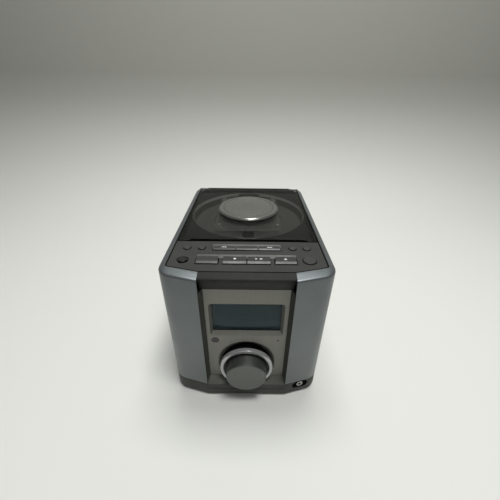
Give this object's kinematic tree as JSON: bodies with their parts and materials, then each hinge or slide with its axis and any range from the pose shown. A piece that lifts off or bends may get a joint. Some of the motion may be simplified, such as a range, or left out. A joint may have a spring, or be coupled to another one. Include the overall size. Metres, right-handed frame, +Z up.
{
  "type": "mini hifi system",
  "caption": "Upright mini hifi main unit with a flush smoked disc lid, a key panel on top, angled cheeks, a recessed display and a large round volume knob.",
  "frame": {"origin": "on the floor under the middle of the unit's box", "axes": "+X to the right seen from the front, +Y to the rear, +Z up"},
  "size_m": [0.146, 0.231, 0.1525],
  "materials": {
    "silver_paint": "metallic silver-grey paint on plastic, satin",
    "grey_plastic": "satin dark grey plastic",
    "dark_plastic": "fine-grained charcoal plastic",
    "black_plastic": "fine-grained black plastic",
    "key_plastic": "satin dark grey plastic",
    "warm_silver": "brushed warm silver",
    "display_glass": "tinted clear window",
    "display_back": "grey-green liquid crystal",
    "chrome": "polished",
    "knob_metal": "turned and satin",
    "zinc": "plated sheet",
    "steel": "ground",
    "nickel": "nickel plate",
    "sensor_lens": "dark infra-red window",
    "lamp_lens": "tinted lens",
    "smoked_lid": "polished smoked plastic",
    "medallion": "satin silver",
    "white_plastic": "natural acetal",
    "rubber": "matt",
    "circuit_board": "solder mask",
    "transformer_steel": "varnished laminations",
    "black_aluminium": "black anodised",
    "black_steel": "black oxide",
    "red_plastic": "moulded"
  },
  "bodies": {
    "case": {"base_tray": "dark_plastic", "rubber_feet": "rubber", "left_side_panel": "silver_paint", "right_side_panel": "silver_paint", "rear_panel": "black_plastic", "control_panel": "grey_plastic", "front_bezel": "dark_plastic", "faceplate": "warm_silver", "display_window": "display_glass", "display_module": "display_back", "knob_collar": "black_plastic", "knob_ring": "chrome", "volume_encoder": "zinc", "remote_sensor": "sensor_lens", "standby_lamp": "lamp_lens", "headphone_jack": "nickel", "disc_well": "black_plastic", "spindle_motor": "zinc", "mech_chassis": "zinc", "mech_dampers": "rubber", "guide_rods": "steel", "sled_motor": "zinc", "key_board": "circuit_board", "front_board": "circuit_board", "main_board": "circuit_board", "transformer": "transformer_steel", "heat_sink": "black_aluminium", "tuner_module": "zinc", "speaker_terminals": "black_plastic", "audio_jacks": "nickel", "antenna_socket": "nickel", "mains_inlet": "black_plastic", "case_screws": "black_steel"},
    "lid": {"cd_lid": "smoked_lid", "lid_medallion": "medallion", "clamper_bracket": "dark_plastic"},
    "clamper": {"clamper_puck": "white_plastic"},
    "turntable": {"turntable_hub": "black_plastic"},
    "pickup": {"pickup_sled": "black_plastic"},
    "gear": {"drive_gear": "white_plastic"},
    "knob": {"volume_knob": "knob_metal"},
    "standby_key": {"standby_key": "key_plastic"},
    "source_key": {"source_key": "key_plastic"},
    "stop_key": {"stop_key": "key_plastic"},
    "play_key": {"play_key": "key_plastic"},
    "eject_key": {"eject_key": "key_plastic"},
    "bass_key": {"bass_key": "key_plastic"},
    "skip_back_key": {"skip_back_key": "key_plastic"},
    "band_key": {"band_key": "key_plastic"},
    "skip_on_key": {"skip_on_key": "key_plastic"},
    "program_key": {"program_key": "key_plastic"},
    "repeat_key": {"repeat_key": "key_plastic"},
    "clock_key": {"clock_key": "key_plastic"},
    "tone_key": {"tone_key": "key_plastic"},
    "speaker_lever_1": {"speaker_lever_1": "red_plastic"},
    "speaker_lever_2": {"speaker_lever_2": "black_plastic"},
    "speaker_lever_3": {"speaker_lever_3": "red_plastic"},
    "speaker_lever_4": {"speaker_lever_4": "black_plastic"}
  },
  "joints": [
    {"name": "lid_hinge", "type": "hinge", "parent": "case", "child": "lid", "pos_m": [0, 0.0996, 0.146], "axis": [-1, 0, 0], "range_deg": [0, 68]},
    {"name": "clamper_spin", "type": "hinge", "parent": "lid", "child": "clamper", "pos_m": [0, 0.0311, 0.143], "axis": [0, 0, 1], "continuous": true},
    {"name": "turntable_spin", "type": "hinge", "parent": "case", "child": "turntable", "pos_m": [0, 0.0311, 0.137], "axis": [0, 0, 1], "continuous": true},
    {"name": "sled_slide", "type": "slide", "parent": "case", "child": "pickup", "axis": [0, -1, 0], "range_m": [0, 0.034]},
    {"name": "gear_spin", "type": "hinge", "parent": "case", "child": "gear", "pos_m": [0.0339, 0.0031, 0.128], "axis": [0, 0, 1], "range_deg": [-5, 230]},
    {"name": "knob_spin", "type": "hinge", "parent": "case", "child": "knob", "pos_m": [0, -0.107, 0.0398], "axis": [0, -1, 0], "continuous": true},
    {"name": "standby_press", "type": "slide", "parent": "case", "child": "standby_key", "axis": [0, 0, -1], "range_m": [0, 0.001], "stiffness_N_per_m": 800},
    {"name": "source_press", "type": "slide", "parent": "case", "child": "source_key", "axis": [0, 0, -1], "range_m": [0, 0.001], "stiffness_N_per_m": 800},
    {"name": "stop_press", "type": "slide", "parent": "case", "child": "stop_key", "axis": [0, 0, -1], "range_m": [0, 0.001], "stiffness_N_per_m": 800},
    {"name": "play_press", "type": "slide", "parent": "case", "child": "play_key", "axis": [0, 0, -1], "range_m": [0, 0.001], "stiffness_N_per_m": 800},
    {"name": "eject_press", "type": "slide", "parent": "case", "child": "eject_key", "axis": [0, 0, -1], "range_m": [0, 0.001], "stiffness_N_per_m": 800},
    {"name": "bass_press", "type": "slide", "parent": "case", "child": "bass_key", "axis": [0, 0, -1], "range_m": [0, 0.001], "stiffness_N_per_m": 800},
    {"name": "skip_back_press", "type": "slide", "parent": "case", "child": "skip_back_key", "axis": [0, 0, -1], "range_m": [0, 0.001], "stiffness_N_per_m": 800},
    {"name": "band_press", "type": "slide", "parent": "case", "child": "band_key", "axis": [0, 0, -1], "range_m": [0, 0.001], "stiffness_N_per_m": 800},
    {"name": "skip_on_press", "type": "slide", "parent": "case", "child": "skip_on_key", "axis": [0, 0, -1], "range_m": [0, 0.001], "stiffness_N_per_m": 800},
    {"name": "program_press", "type": "slide", "parent": "case", "child": "program_key", "axis": [0, 0, -1], "range_m": [0, 0.001], "stiffness_N_per_m": 800},
    {"name": "repeat_press", "type": "slide", "parent": "case", "child": "repeat_key", "axis": [0, 0, -1], "range_m": [0, 0.001], "stiffness_N_per_m": 800},
    {"name": "clock_press", "type": "slide", "parent": "case", "child": "clock_key", "axis": [0, 0, -1], "range_m": [0, 0.001], "stiffness_N_per_m": 800},
    {"name": "tone_press", "type": "slide", "parent": "case", "child": "tone_key", "axis": [0, 0, -1], "range_m": [0, 0.001], "stiffness_N_per_m": 800},
    {"name": "speaker_press_1", "type": "hinge", "parent": "case", "child": "speaker_lever_1", "pos_m": [0, 0.1089, 0.0785], "axis": [-1, 0, 0], "range_deg": [0, 20], "stiffness_Nm_per_rad": 0.05},
    {"name": "speaker_press_2", "type": "hinge", "parent": "case", "child": "speaker_lever_2", "pos_m": [0, 0.1089, 0.0785], "axis": [-1, 0, 0], "range_deg": [0, 20], "stiffness_Nm_per_rad": 0.05},
    {"name": "speaker_press_3", "type": "hinge", "parent": "case", "child": "speaker_lever_3", "pos_m": [0, 0.1089, 0.0785], "axis": [-1, 0, 0], "range_deg": [0, 20], "stiffness_Nm_per_rad": 0.05},
    {"name": "speaker_press_4", "type": "hinge", "parent": "case", "child": "speaker_lever_4", "pos_m": [0, 0.1089, 0.0785], "axis": [-1, 0, 0], "range_deg": [0, 20], "stiffness_Nm_per_rad": 0.05}
  ],
  "couplings": [
    {"joint": "gear_spin", "follows": "sled_slide", "rad_per_m": 113.64}
  ]
}
